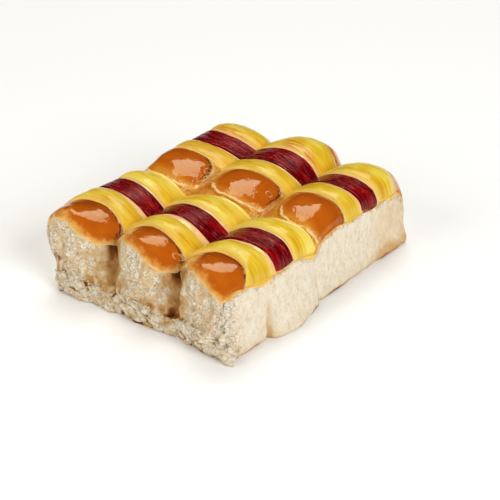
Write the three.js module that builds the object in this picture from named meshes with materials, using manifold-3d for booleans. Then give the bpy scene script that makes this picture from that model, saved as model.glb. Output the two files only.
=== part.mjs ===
// A pull-apart sweet bread: three soft rolls baked side by side, two buns long, torn from a larger tray.
// Bands of custard and jam run across all three rolls, and bare glazed crust swells up between them.
// Millimetres, +Z up. X runs across the rolls and Y along them, with the torn front of the buns towards -Y.
// The loaf is set at the end so that the origin is the middle of its flat base.
import * as THREE from "three";
import { mergeVertices } from "three/addons/utils/BufferGeometryUtils.js";
import Module from "manifold-3d";

// Rolls, side by side along X. The outer two are a little narrower on their outer side, and their walls
// stop a little short of where their flanks would stand upright.
const ROLLS = 3;
const ROLL_PITCH = 60;
const HALF_ROLL = ROLL_PITCH / 2;
const OUTER_CROWN = ((ROLLS - 1) / 2) * ROLL_PITCH;
const OUTER_HALF_ROLL = 28.4;
const OUTER_TRIM = 0.4;
const HALF_WIDTH = OUTER_CROWN + OUTER_HALF_ROLL - OUTER_TRIM;
const COLUMNS_PER_ROLL = 15;
const COLUMNS = ROLLS * COLUMNS_PER_ROLL;

// Creases between the rolls: how deep the left and the right one are at three places along Y.
const CREASE_YS = [-60, -10, 50];
const CREASE_DEPTHS = [
  [12.5, 10.5, 6.5],
  [12.5, 11, 11.5],
];
const CREASE_POWER = 2;

// Shoulders: the outer flanks of the outer rolls, which drop less near the front.
const SHOULDER_DEPTH = 20;
const FRONT_SHOULDER_DEPTH = 14;
const SHOULDER_EASE = 40;
const SHOULDER_POWER = 3;
const SHOULDER_STEEPNESS = 0.44;

// Stripes along Y, from the torn front to the torn back. rear is the dough's height where the stripe ends,
// swell how far its middle rises above a straight line, bow how far its rear edge curves back on each crown,
// and cuts the rows of facets that it takes.
const STRIPES = [
  { kind: "crust", width: 21, rear: 63.4, swell: 0, bow: 4, cuts: 6 },
  { kind: "custard", width: 27.5, rear: 63, swell: -0.6, bow: 0, cuts: 4 },
  { kind: "dough", width: 1.6, rear: 63, swell: 0, bow: 0, cuts: 1 },
  { kind: "jam", width: 18, rear: 62.6, swell: -1.4, bow: 0, cuts: 3 },
  { kind: "dough", width: 1.6, rear: 62.4, swell: 0, bow: 0, cuts: 1 },
  { kind: "custard", width: 24, rear: 57, swell: 1.6, bow: 0, cuts: 4 },
  { kind: "crust", width: 40, rear: 63.4, swell: 5.2, bow: 1.5, cuts: 8 },
  { kind: "custard", width: 20, rear: 63, swell: -0.6, bow: 0, cuts: 3 },
  { kind: "dough", width: 1.6, rear: 63, swell: 0, bow: 0, cuts: 1 },
  { kind: "jam", width: 16, rear: 62.6, swell: -1.2, bow: 0, cuts: 3 },
  { kind: "dough", width: 1.6, rear: 62.2, swell: 0, bow: 0, cuts: 1 },
  { kind: "custard", width: 26.5, rear: 57, swell: 1.4, bow: 0, cuts: 4 },
  { kind: "crust", width: 9, rear: 49, swell: 1.6, bow: 0, cuts: 2 },
];
const LENGTH = STRIPES.reduce((sum, stripe) => sum + stripe.width, 0);
const ROWS = STRIPES.reduce((sum, stripe) => sum + stripe.cuts, 0);
const FRONT_Y = -LENGTH / 2;
const SWELL_POWER = 0.7;
const FRONT_EDGE_HEIGHT = 42;

// The stripes wander a little: two waves, each with its strength and its lengths along X and Y.
const STRIPE_WAVES = [
  { strength: 1, alongX: 19, alongY: 31 },
  { strength: 0.7, alongX: 11, alongY: -23 },
];

// A roll's front edge is squarer on its left side than on its right.
const LEFT_FRONT_POWER = 3.8;
const RIGHT_FRONT_POWER = 2.5;

// How far each roll, from the left, reaches and rises past the mean at the torn back, and where that starts.
const REAR_REACH = [0, 11, 5];
const REAR_RISE = [0, 3, 0.6];
const REAR_START = 42;
const REAR_REACH_AT_BASE = 0.2;
const REAR_REACH_EASE = 45;

// Torn ends. A roll's front is round in plan, over a torn ledge that stands out near the base.
const WALL_ROWS = 11;
const NOTCH_DEPTH = 16;
const NOTCH_POWER = 3;
const NOTCH_AT_BASE = 0.08;
const NOTCH_FOOT = 6;
const NOTCH_EASE = 26;
const BACK_NOTCH_DEPTH = 8;
const LEDGE_REACH = 3.6;
const LEDGE_TOP = 19;
const LEDGE_TOP_WANDER = 4;
const LEDGE_TOP_WAVE = 12;
const LEDGE_EDGE_WAVE = 16;
const LEDGE_EASE = 7;
const LEDGE_MEAN = 0.6;
const LEDGE_RAGGEDNESS = 0.5;
const FRONT_INSET = 2.4;
const FRONT_INSET_EASE = 20;
const FRONT_INSET_PAST_CROWN = 4;
const TEAR_REACH = 46;
const CRAG_SIZE = 13;
const CRAG_LAYERS = [
  { share: 0.65, finer: 1 },
  { share: 0.35, finer: 2.1 },
];
const FRONT_CRAGS = 2.6;
const BACK_CRAGS = 1.5;
const RIGHT_CRAGS = 1;
const LEFT_CRAGS = 1.6;

// Where the noise is read for each torn side, and for the ledge's edge and top, so that no two are alike.
const CRAG_PLACES = { front: 0, back: 90, right: 60, left: -60 };
const LEDGE_EDGE_PLACE = [3.5, 0.5];
const LEDGE_TOP_PLACE = [7.5, 0.5];

// Torn sides. The right one shows three pieces: the middle one spreads at its foot, between two seams.
const SEAM_YS = [-63, -4];
const SEAM_DEPTH = 2;
const SEAM_WIDTH = 2.5;
const SEAM_TOP = 36;
const SEAM_EASE = 14;
const SPREAD = 9;
const SPREAD_HEIGHT = 42;
const SPREAD_SKEW = 0.7;
const SPREAD_FULLNESS = 0.8;
const SPREAD_POWER = 1.2;
const REAR_INSET = 3.5;
const REAR_INSET_START = -20;
const LEFT_INSET_START = -50;
const REAR_INSET_EASE = 24;
const REAR_INSET_AT_BASE = 0.3;
const REAR_INSET_RISE = 20;
const CORNER_LENGTH = 24;
const RIGHT_CORNER_INSET = 8;
const RIGHT_CORNER_FOOT = 3;
const RIGHT_CORNER_EASE = 10;
const LEFT_CORNER_INSET = 14;
const LEFT_CORNER_ROUNDING = 3;
const LEFT_FOOT_INSET = 5;
const LEFT_LEAN_TOP = 50;
const LEFT_LEAN_EASE = 44;
const LEFT_WAIST_INSET = 3;
const LEFT_WAIST_Y = 4;
const LEFT_WAIST_WIDTH = 16;
const REAR_CORNER_INSET = 8;
const REAR_CORNER_EASE = 50;
const BASE_TUCK = 2;
const BASE_TUCK_HEIGHT = 7;
const BASE_SKIRT = 1;
const CUTTER_DEPTH = 20;

// Toppings: a band's underside stays this far above the dough, and its skin is thin at the rim and the ends.
const CLEARANCE = 0.35;
const END_THINNING = 0.4;
const END_COLUMNS = 2;
const TOPPINGS = {
  custard: { rim: 0.9, thickness: 3.2, colour: 0xf0c22c, roughness: 0.25 },
  jam: { rim: 0.7, thickness: 2.2, colour: 0x6a0f16, roughness: 0.15 },
};
const CRUMB_COLOUR = 0xe9dcc0;

const clamp01 = (t) => Math.min(1, Math.max(0, t));
const mix = (a, b, t) => a + (b - a) * t;

function smooth(t) {
  const c = clamp01(t);
  return c * c * (3 - 2 * c);
}

// Value noise from -1 to 1: the same number for the same place, whatever order the points are made in.
function lattice(i, j, k) {
  const n = Math.sin(i * 127.1 + j * 311.7 + k * 74.7) * 43758.5453;
  return 2 * (n - Math.floor(n)) - 1;
}

function noise(x, y, z) {
  const [i, j, k] = [Math.floor(x), Math.floor(y), Math.floor(z)];
  const [a, b, c] = [smooth(x - i), smooth(y - j), smooth(z - k)];
  const edge = (dj, dk) => mix(lattice(i, j + dj, k + dk), lattice(i + 1, j + dj, k + dk), a);
  return mix(mix(edge(0, 0), edge(1, 0), b), mix(edge(0, 1), edge(1, 1), b), c);
}

function crags(x, y, z) {
  return CRAG_LAYERS.reduce((sum, { share, finer }) => {
    const scale = finer / CRAG_SIZE;
    return sum + share * noise(x * scale, y * scale, z * scale);
  }, 0);
}

// A value at y, on straight lines between the places that have values and level beyond the outermost two.
function between(places, values, y) {
  const last = places.length - 1;
  const next = places.findIndex((place) => y < place);
  if (next === 0) {
    return values[0];
  }
  if (next < 0) {
    return values[last];
  }
  return mix(values[next - 1], values[next], (y - places[next - 1]) / (places[next] - places[next - 1]));
}

function rollOf(x) {
  return Math.min(ROLLS - 1, Math.max(0, Math.floor(x / ROLL_PITCH + ROLLS / 2)));
}

// The place across a roll, from -1 at its left crease through 0 on its crown to 1 at its right crease.
function acrossRoll(x) {
  const half = Math.abs(x) > OUTER_CROWN ? OUTER_HALF_ROLL : HALF_ROLL;
  return (x - (rollOf(x) - (ROLLS - 1) / 2) * ROLL_PITCH) / half;
}

// 1 in the crease between two rolls, falling to 0 on the crowns and on the outer sides.
function creaseNess(x, power) {
  return Math.abs(x) > OUTER_CROWN ? 0 : Math.pow(Math.abs(acrossRoll(x)), power);
}

// A roll's own value on its crown, and the smaller of the two rolls' values in the crease between them.
function ofRoll(values, x) {
  const own = values[rollOf(x)];
  const beside = values[rollOf(x + Math.sign(acrossRoll(x)) * ROLL_PITCH)];
  return mix(own, Math.min(own, beside), creaseNess(x, 2));
}

function rearness(y) {
  return smooth((y - REAR_START) / (-FRONT_Y - REAR_START));
}

// Columns of vertices stand closer together beside the creases, where the flanks are steep.
function columnX(column) {
  const roll = Math.min(ROLLS - 1, Math.floor(column / COLUMNS_PER_ROLL));
  const t = (2 * (column - roll * COLUMNS_PER_ROLL)) / COLUMNS_PER_ROLL - 1;
  const s = 0.5 * t + 0.5 * Math.sin((Math.PI / 2) * t);
  const x = (roll - (ROLLS - 1) / 2 + s / 2) * ROLL_PITCH;
  return Math.min(HALF_WIDTH, Math.max(-HALF_WIDTH, x));
}

// The stripe that a row is in, the share of the stripe in front of the row, and the row's Y.
function stripeAt(row) {
  let first = 0;
  let y = FRONT_Y;
  for (const [index, stripe] of STRIPES.entries()) {
    if (row <= first + stripe.cuts) {
      const share = (row - first) / stripe.cuts;
      return { index, stripe, share, y: y + share * stripe.width };
    }
    first += stripe.cuts;
    y += stripe.width;
  }
}

// The dough's height along the crown of a roll: rounded at the front, then stripe by stripe.
function crownHeight(x, row) {
  const { index, stripe, share } = stripeAt(row);
  if (index === 0) {
    const power = mix(LEFT_FRONT_POWER, RIGHT_FRONT_POWER, smooth(acrossRoll(x) + 0.5));
    return mix(FRONT_EDGE_HEIGHT, stripe.rear, Math.pow(1 - Math.pow(1 - share, power), 1 / power));
  }
  const straight = mix(STRIPES[index - 1].rear, stripe.rear, share);
  const away = 2 * share - 1;
  return straight + stripe.swell * Math.pow(1 - away * away, SWELL_POWER);
}

function shoulderDrop(s, y) {
  const depth = mix(FRONT_SHOULDER_DEPTH, SHOULDER_DEPTH, smooth((y - FRONT_Y) / SHOULDER_EASE));
  return depth * (1 - Math.pow(1 - Math.pow(s, SHOULDER_POWER), SHOULDER_STEEPNESS));
}

function creaseDrop(s, x, y) {
  return between(CREASE_YS, CREASE_DEPTHS[x < 0 ? 0 : 1], y) * Math.pow(s, CREASE_POWER);
}

function doughHeight(x, row) {
  const { y } = stripeAt(row);
  const s = Math.min(1, Math.abs(acrossRoll(x)));
  const drop = Math.abs(x) > OUTER_CROWN ? shoulderDrop(s, y) : creaseDrop(s, x, y);
  return crownHeight(x, row) + ofRoll(REAR_RISE, x) * rearness(y) - drop;
}

function notch(x, z) {
  return creaseNess(x, NOTCH_POWER) * mix(NOTCH_AT_BASE, 1, smooth((z - NOTCH_FOOT) / NOTCH_EASE));
}

// How far the torn front moves towards +Y at a place on it.
function frontShift(x, z) {
  const ragged = LEDGE_MEAN + LEDGE_RAGGEDNESS * noise(x / LEDGE_EDGE_WAVE, ...LEDGE_EDGE_PLACE);
  const top = LEDGE_TOP + LEDGE_TOP_WANDER * noise(x / LEDGE_TOP_WAVE, ...LEDGE_TOP_PLACE);
  const ledge = LEDGE_REACH * ragged * smooth((top - z) / LEDGE_EASE);
  const inset = FRONT_INSET * smooth((OUTER_CROWN + FRONT_INSET_PAST_CROWN - Math.abs(x)) / FRONT_INSET_EASE);
  return NOTCH_DEPTH * notch(x, z) + inset - ledge + FRONT_CRAGS * crags(x, CRAG_PLACES.front, z);
}

function backShift(x, z) {
  return -BACK_NOTCH_DEPTH * notch(x, z) + BACK_CRAGS * crags(x, CRAG_PLACES.back, z);
}

function seam(y) {
  return SEAM_YS.reduce((sum, at) => sum + Math.exp(-(((y - at) / SEAM_WIDTH) ** 2)), 0);
}

function nearFront(y) {
  return smooth(1 - (y - FRONT_Y) / CORNER_LENGTH);
}

function nearBack(y) {
  return smooth(1 - (-FRONT_Y - y) / CORNER_LENGTH);
}

// How far the right wall moves towards +X at a place on it.
function rightShift(y, z) {
  const along = clamp01((y - SEAM_YS[0]) / (SEAM_YS[1] - SEAM_YS[0]));
  const spread = SPREAD * Math.pow(Math.sin(Math.PI * Math.pow(along, SPREAD_SKEW)), SPREAD_FULLNESS);
  const low = Math.pow(clamp01(1 - z / SPREAD_HEIGHT), SPREAD_POWER);
  const rise = mix(REAR_INSET_AT_BASE, 1, smooth(z / REAR_INSET_RISE));
  const inset = REAR_INSET * smooth((y - REAR_INSET_START) / REAR_INSET_EASE) * rise;
  const frontCorner = RIGHT_CORNER_INSET * nearFront(y) * smooth((z - RIGHT_CORNER_FOOT) / RIGHT_CORNER_EASE);
  const rearCorner = REAR_CORNER_INSET * nearBack(y) * smooth(z / REAR_CORNER_EASE);
  const seams = SEAM_DEPTH * seam(y) * smooth((SEAM_TOP - z) / SEAM_EASE);
  return spread * low - inset - frontCorner - rearCorner - seams
    + RIGHT_CRAGS * crags(CRAG_PLACES.right, y, z);
}

// How far the left wall moves towards +X. It leans in towards its foot, most at the front corner, and has
// a waist between the front and the rear buns.
function leftShift(y, z) {
  const lean = smooth((LEFT_LEAN_TOP - z) / LEFT_LEAN_EASE);
  const foot = LEFT_FOOT_INSET * lean + REAR_INSET * smooth((y - LEFT_INSET_START) / REAR_INSET_EASE);
  const leaning = LEFT_CORNER_INSET - LEFT_FOOT_INSET - LEFT_CORNER_ROUNDING;
  const frontCorner = (LEFT_CORNER_ROUNDING + leaning * lean) * nearFront(y);
  const rearCorner = REAR_CORNER_INSET * nearBack(y) * smooth(z / REAR_CORNER_EASE);
  const waist = LEFT_WAIST_INSET * Math.exp(-(((y - LEFT_WAIST_Y) / LEFT_WAIST_WIDTH) ** 2));
  return foot + frontCorner + rearCorner + waist + LEFT_CRAGS * crags(CRAG_PLACES.left, y, z);
}

// The place of the vertex at a column, a row and a share of the height, from 0 at the base to 1 on the skin.
function place(column, row, share) {
  const x = columnX(column);
  const { index, stripe, share: along, y } = stripeAt(row);
  const z = share * doughHeight(x, row);
  const s = Math.min(1, Math.abs(acrossRoll(x)));
  const bow = mix(index > 0 ? STRIPES[index - 1].bow : 0, stripe.bow, along) * (1 - s * s);
  const tuck = BASE_TUCK * Math.pow(clamp01(1 - z / BASE_TUCK_HEIGHT), 2);
  const nearness = (distance) => Math.pow(clamp01(1 - distance / TEAR_REACH), 2);
  const front = nearness(y - FRONT_Y);
  const back = nearness(-FRONT_Y - y);
  const left = nearness(x + HALF_WIDTH);
  const right = nearness(HALF_WIDTH - x);
  const wander = STRIPE_WAVES.reduce(
    (sum, { strength, alongX, alongY }) => sum + strength * Math.sin(x / alongX + y / alongY),
    0,
  );
  const inner = (1 - front) * (1 - back);
  const reachHere = mix(REAR_REACH_AT_BASE, 1, smooth(z / REAR_REACH_EASE));
  const reach = ofRoll(REAR_REACH, x) * rearness(y) * reachHere;
  return new THREE.Vector3(
    x + right * (rightShift(y, z) - tuck) + left * (leftShift(y, z) + tuck),
    y + front * (frontShift(x, z) + tuck) + back * (backShift(x, z) - tuck)
      + inner * wander + bow + reach,
    z,
  );
}

// A box whose grid vertices are moved by shape(column, row, level), merged into one closed surface.
// Its underside's squares are split along the same diagonals as its top's, so that stacked boxes fit.
function shapedBox(columns, rows, levels, shape) {
  const box = new THREE.BoxGeometry(columns, rows, levels, columns, rows, levels);
  box.translate(columns / 2, rows / 2, levels / 2);
  box.deleteAttribute("normal");
  box.deleteAttribute("uv");
  const position = box.getAttribute("position");
  for (let n = 0; n < position.count; n += 1) {
    const grid = [position.getX(n), position.getY(n), position.getZ(n)].map(Math.round);
    const moved = shape(...grid);
    position.setXYZ(n, moved.x, moved.y, moved.z);
  }
  const corners = box.index.array;
  const underside = box.groups[5];
  for (let n = underside.start; n < underside.start + underside.count; n += 6) {
    const [a, b, d, , c] = corners.slice(n, n + 6);
    corners.set([a, b, c, a, c, d], n);
  }
  return mergeVertices(box, 1e-4);
}

const wasm = await Module();
wasm.setup();

function solidOf(geometry) {
  return new wasm.Manifold(
    new wasm.Mesh({
      numProp: 3,
      vertProperties: new Float32Array(geometry.getAttribute("position").array),
      triVerts: new Uint32Array(geometry.index.array),
    }),
  );
}

function geometryOf(solid) {
  const mesh = solid.getMesh();
  const geometry = new THREE.BufferGeometry();
  geometry.setAttribute("position", new THREE.BufferAttribute(mesh.vertProperties, 3));
  geometry.setIndex(new THREE.BufferAttribute(mesh.triVerts, 1));
  return geometry;
}

// The bread is shaped a little too deep and its underside cut off flat.
function breadGeometry() {
  const shaped = shapedBox(COLUMNS, ROWS, WALL_ROWS, (column, row, level) => {
    const point = place(column, row, level / WALL_ROWS);
    point.z -= BASE_SKIRT * (1 - level / WALL_ROWS);
    return point;
  });
  const underside = new THREE.BoxGeometry(4 * HALF_WIDTH, 2 * LENGTH, CUTTER_DEPTH);
  underside.deleteAttribute("normal");
  underside.deleteAttribute("uv");
  underside.translate(0, 0, -CUTTER_DEPTH / 2);
  return geometryOf(solidOf(shaped).subtract(solidOf(mergeVertices(underside))));
}

// A band of topping over all three rolls, from one torn side to the other.
function bandGeometry(firstRow, rows, topping) {
  return shapedBox(COLUMNS - 2, rows, 1, (column, row, level) => {
    const point = place(column + 1, firstRow + row, 1);
    const away = (2 * row) / rows - 1;
    const ends = mix(END_THINNING, 1, smooth(Math.min(column, COLUMNS - 2 - column) / END_COLUMNS));
    const skin = mix(topping.rim, topping.thickness, Math.sqrt(1 - away * away) * ends);
    point.z += CLEARANCE + level * skin;
    return point;
  });
}

function addMesh(group, name, geometry, colour, roughness) {
  const look = { color: colour, roughness, metalness: 0, flatShading: true };
  const material = new THREE.MeshStandardMaterial(look);
  const mesh = new THREE.Mesh(geometry, material);
  mesh.name = name;
  group.add(mesh);
}

const loaf = new THREE.Group();
addMesh(loaf, "bread", breadGeometry(), CRUMB_COLOUR, 0.8);

const made = { custard: 0, jam: 0 };
let firstRow = 0;
for (const stripe of STRIPES) {
  const topping = TOPPINGS[stripe.kind];
  if (topping) {
    made[stripe.kind] += 1;
    const name = `${stripe.kind}_band_${made[stripe.kind]}`;
    addMesh(loaf, name, bandGeometry(firstRow, stripe.cuts, topping), topping.colour, topping.roughness);
  }
  firstRow += stripe.cuts;
}

const middle = new THREE.Box3().setFromObject(loaf).getCenter(new THREE.Vector3());
loaf.position.set(-middle.x, -middle.y, 0);

export default loaf;
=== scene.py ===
import math

import bmesh
import bpy
import numpy as np
from mathutils import Matrix, Vector


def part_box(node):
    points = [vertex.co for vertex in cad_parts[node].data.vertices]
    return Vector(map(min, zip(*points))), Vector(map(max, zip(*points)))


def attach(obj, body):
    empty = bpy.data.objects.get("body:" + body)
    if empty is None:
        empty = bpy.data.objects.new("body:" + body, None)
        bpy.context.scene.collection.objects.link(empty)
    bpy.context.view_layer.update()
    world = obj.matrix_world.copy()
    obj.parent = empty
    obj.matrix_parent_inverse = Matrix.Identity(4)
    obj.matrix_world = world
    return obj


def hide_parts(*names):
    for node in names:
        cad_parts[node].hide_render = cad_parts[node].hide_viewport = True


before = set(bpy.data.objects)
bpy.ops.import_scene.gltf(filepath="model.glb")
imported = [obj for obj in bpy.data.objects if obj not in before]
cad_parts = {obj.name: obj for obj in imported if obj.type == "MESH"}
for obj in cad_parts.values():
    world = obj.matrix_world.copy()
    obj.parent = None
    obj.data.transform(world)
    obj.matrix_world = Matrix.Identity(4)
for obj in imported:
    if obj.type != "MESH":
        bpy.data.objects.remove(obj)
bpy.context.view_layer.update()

MM = 0.001

# Rolls, side by side along X. The outer two are a little narrower on their outer side, and their walls
# stop a little short of where their flanks would stand upright.
ROLLS = 3
ROLL_PITCH = 60
HALF_ROLL = ROLL_PITCH / 2
OUTER_CROWN = (ROLLS - 1) / 2 * ROLL_PITCH
OUTER_HALF_ROLL = 28.4
OUTER_TRIM = 0.4
HALF_WIDTH = OUTER_CROWN + OUTER_HALF_ROLL - OUTER_TRIM
COLUMNS_PER_ROLL = 15
COLUMNS = ROLLS * COLUMNS_PER_ROLL

# Creases between the rolls: how deep the left and the right one are at three places along Y.
CREASE_YS = (-60, -10, 50)
CREASE_DEPTHS = ((12.5, 10.5, 6.5), (12.5, 11, 11.5))
CREASE_POWER = 2

# Shoulders: the outer flanks of the outer rolls, which drop less near the front.
SHOULDER_DEPTH = 20
FRONT_SHOULDER_DEPTH = 14
SHOULDER_EASE = 40
SHOULDER_POWER = 3
SHOULDER_STEEPNESS = 0.44

# Stripes along Y: kind, width, the dough's height at its rear edge, swell, bow of the rear edge, rows.
STRIPES = [
    ("crust", 21, 63.4, 0, 4, 6),
    ("custard", 27.5, 63, -0.6, 0, 4),
    ("dough", 1.6, 63, 0, 0, 1),
    ("jam", 18, 62.6, -1.4, 0, 3),
    ("dough", 1.6, 62.4, 0, 0, 1),
    ("custard", 24, 57, 1.6, 0, 4),
    ("crust", 40, 63.4, 5.2, 1.5, 8),
    ("custard", 20, 63, -0.6, 0, 3),
    ("dough", 1.6, 63, 0, 0, 1),
    ("jam", 16, 62.6, -1.2, 0, 3),
    ("dough", 1.6, 62.2, 0, 0, 1),
    ("custard", 26.5, 57, 1.4, 0, 4),
    ("crust", 9, 49, 1.6, 0, 2),
]
KINDS = [stripe[0] for stripe in STRIPES]
WIDTHS, REARS, SWELLS, BOWS, CUTS = np.array([stripe[1:] for stripe in STRIPES], float).T
FRONT_EDGE_HEIGHT = 42
FRONTS = np.concatenate([[FRONT_EDGE_HEIGHT], REARS[:-1]])
FRONT_BOWS = np.concatenate([[0], BOWS[:-1]])
FRONT_Y = -WIDTHS.sum() / 2
STRIPE_YS = FRONT_Y + np.concatenate([[0], np.cumsum(WIDTHS)])
STRIPE_ROWS = np.concatenate([[0], np.cumsum(CUTS)])
ROWS = int(STRIPE_ROWS[-1])
SWELL_POWER = 0.7
STRIPE_WANDER = 1
LEFT_FRONT_POWER = 3.8
RIGHT_FRONT_POWER = 2.5

# The torn ends and sides, as the solids have them.
REAR_REACH = np.array([0, 11, 5])
REAR_RISE = np.array([0, 3, 0.6])
REAR_START = 42
REAR_REACH_AT_BASE = 0.2
REAR_REACH_EASE = 45
NOTCH_DEPTH = 16
NOTCH_POWER = 3
NOTCH_AT_BASE = 0.08
NOTCH_FOOT = 6
NOTCH_EASE = 26
BACK_NOTCH_DEPTH = 8
LEDGE_REACH = 3.6
LEDGE_TOP = 19
LEDGE_TOP_WANDER = 4
LEDGE_TOP_WAVE = 12
LEDGE_EDGE_WAVE = 16
LEDGE_EASE = 7
FRONT_INSET = 2.4
FRONT_INSET_PAST_CROWN = 4
FRONT_INSET_EASE = 20
TEAR_REACH = 46
CRAG_SIZE = 13
CRAG_PLACES = {"front": 0, "back": 90, "right": 60, "left": -60}
FRONT_CRAGS = 2.6
BACK_CRAGS = 1.5
RIGHT_CRAGS = 1
LEFT_CRAGS = 1.6
SEAM_YS = (-63, -4)
SEAM_DEPTH = 2
SEAM_WIDTH = 2.5
SEAM_TOP = 36
SEAM_EASE = 14
SPREAD = 9
SPREAD_HEIGHT = 42
SPREAD_SKEW = 0.7
SPREAD_FULLNESS = 0.8
SPREAD_POWER = 1.2
REAR_INSET = 3.5
REAR_INSET_START = -20
LEFT_INSET_START = -50
REAR_INSET_EASE = 24
REAR_INSET_AT_BASE = 0.3
REAR_INSET_RISE = 20
CORNER_LENGTH = 24
RIGHT_CORNER_INSET = 8
RIGHT_CORNER_FOOT = 3
RIGHT_CORNER_EASE = 10
LEFT_CORNER_INSET = 14
LEFT_CORNER_ROUNDING = 3
LEFT_FOOT_INSET = 5
LEFT_LEAN_TOP = 50
LEFT_LEAN_EASE = 44
LEFT_WAIST_INSET = 3
LEFT_WAIST_Y = 4
LEFT_WAIST_WIDTH = 16
REAR_CORNER_INSET = 8
REAR_CORNER_EASE = 50
BASE_TUCK = 2
BASE_TUCK_HEIGHT = 7
BASE_SKIRT = 1

# Toppings: how thick a band is in its middle, how far its rims lie above the dough, and how far its
# underside sinks into it.
SKINS = {"custard": 3.2, "jam": 2.2}
BAND_LIFT = 0.15
SINK = 0.9



def mix(a, b, t):
    return a + (b - a) * t


def smooth(t):
    c = np.clip(t, 0, 1)
    return c * c * (3 - 2 * c)


def lattice(i, j, k):
    n = np.sin(i * 127.1 + j * 311.7 + k * 74.7) * 43758.5453
    return 2 * (n - np.floor(n)) - 1


def noise(x, y, z):
    """Value noise from -1 to 1, the same that the solids use."""
    i, j, k = np.floor(x), np.floor(y), np.floor(z)
    a, b, c = smooth(x - i), smooth(y - j), smooth(z - k)

    def edge(dj, dk):
        return mix(lattice(i, j + dj, k + dk), lattice(i + 1, j + dj, k + dk), a)

    return mix(mix(edge(0, 0), edge(1, 0), b), mix(edge(0, 1), edge(1, 1), b), c)


def layered(x, y, z, size, layers=3):
    """Noise in layers, each half as large and half as strong as the one before."""
    total = 0
    for layer in range(layers):
        s = 2.03**layer / size
        total = total + noise(x * s + 7.1 * layer, y * s, z * s) / 2**layer
    return total / (2 - 0.5 ** (layers - 1))


def crags(x, y, z):
    coarse, fine = 1 / CRAG_SIZE, 2.1 / CRAG_SIZE
    return 0.65 * noise(x * coarse, y * coarse, z * coarse) + 0.35 * noise(x * fine, y * fine, z * fine)


def roll_of(x):
    return np.clip(np.floor(x / ROLL_PITCH + ROLLS / 2), 0, ROLLS - 1).astype(int)


def across_roll(x):
    """-1 at a roll's left crease, 0 on its crown and 1 at its right crease."""
    half = np.where(np.abs(x) > OUTER_CROWN, OUTER_HALF_ROLL, HALF_ROLL)
    return (x - (roll_of(x) - (ROLLS - 1) / 2) * ROLL_PITCH) / half


def creaseness(x, power):
    """1 in the crease between two rolls, falling to 0 on the crowns and on the outer sides."""
    return np.where(np.abs(x) > OUTER_CROWN, 0, np.abs(across_roll(x)) ** power)


def of_roll(values, x):
    own = values[roll_of(x)]
    beside = values[roll_of(x + np.sign(across_roll(x)) * ROLL_PITCH)]
    return mix(own, np.minimum(own, beside), creaseness(x, 2))


def rearness(y):
    return smooth((y - REAR_START) / (-FRONT_Y - REAR_START))


def column_x(column):
    roll = np.clip(np.floor(column / COLUMNS_PER_ROLL), 0, ROLLS - 1)
    t = 2 * (column - roll * COLUMNS_PER_ROLL) / COLUMNS_PER_ROLL - 1
    s = 0.5 * t + 0.5 * np.sin(math.pi / 2 * t)
    return np.clip((roll - (ROLLS - 1) / 2 + s / 2) * ROLL_PITCH, -HALF_WIDTH, HALF_WIDTH)


def stripe_at(row):
    """The stripe that a row is in, the share of the stripe in front of the row, and the row's Y."""
    index = np.clip(np.searchsorted(STRIPE_ROWS[1:], row, side="left"), 0, len(STRIPES) - 1)
    share = (row - STRIPE_ROWS[index]) / CUTS[index]
    return index, share, STRIPE_YS[index] + share * WIDTHS[index]


def crown_height(x, row):
    index, share, _ = stripe_at(row)
    power = mix(LEFT_FRONT_POWER, RIGHT_FRONT_POWER, smooth(across_roll(x) + 0.5))
    rounded = mix(FRONT_EDGE_HEIGHT, REARS[0], np.clip(1 - (1 - share) ** power, 0, 1) ** (1 / power))
    swell = SWELLS[index] * np.clip(1 - (2 * share - 1) ** 2, 0, 1) ** SWELL_POWER
    return np.where(index == 0, rounded, mix(FRONTS[index], REARS[index], share) + swell)


def shoulder_drop(s, y):
    depth = mix(FRONT_SHOULDER_DEPTH, SHOULDER_DEPTH, smooth((y - FRONT_Y) / SHOULDER_EASE))
    return depth * (1 - np.clip(1 - s**SHOULDER_POWER, 0, 1) ** SHOULDER_STEEPNESS)


def crease_drop(s, x, y):
    left, right = (np.interp(y, CREASE_YS, depths) for depths in CREASE_DEPTHS)
    return np.where(x < 0, left, right) * s**CREASE_POWER


def dough_height(x, row):
    y = stripe_at(row)[2]
    s = np.minimum(1, np.abs(across_roll(x)))
    drop = np.where(np.abs(x) > OUTER_CROWN, shoulder_drop(s, y), crease_drop(s, x, y))
    return crown_height(x, row) + of_roll(REAR_RISE, x) * rearness(y) - drop


def notch(x, z):
    return creaseness(x, NOTCH_POWER) * mix(NOTCH_AT_BASE, 1, smooth((z - NOTCH_FOOT) / NOTCH_EASE))


def front_shift(x, z):
    ragged = 0.6 + 0.5 * noise(x / LEDGE_EDGE_WAVE, 3.5, 0.5)
    top = LEDGE_TOP + LEDGE_TOP_WANDER * noise(x / LEDGE_TOP_WAVE, 7.5, 0.5)
    ledge = LEDGE_REACH * ragged * smooth((top - z) / LEDGE_EASE)
    inset = FRONT_INSET * smooth((OUTER_CROWN + FRONT_INSET_PAST_CROWN - np.abs(x)) / FRONT_INSET_EASE)
    return NOTCH_DEPTH * notch(x, z) + inset - ledge + FRONT_CRAGS * crags(x, CRAG_PLACES["front"], z)


def back_shift(x, z):
    return -BACK_NOTCH_DEPTH * notch(x, z) + BACK_CRAGS * crags(x, CRAG_PLACES["back"], z)


def seam(y):
    return sum(np.exp(-(((y - at) / SEAM_WIDTH) ** 2)) for at in SEAM_YS)


def near_front(y):
    return smooth(1 - (y - FRONT_Y) / CORNER_LENGTH)


def near_back(y):
    return smooth(1 - (-FRONT_Y - y) / CORNER_LENGTH)


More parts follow.
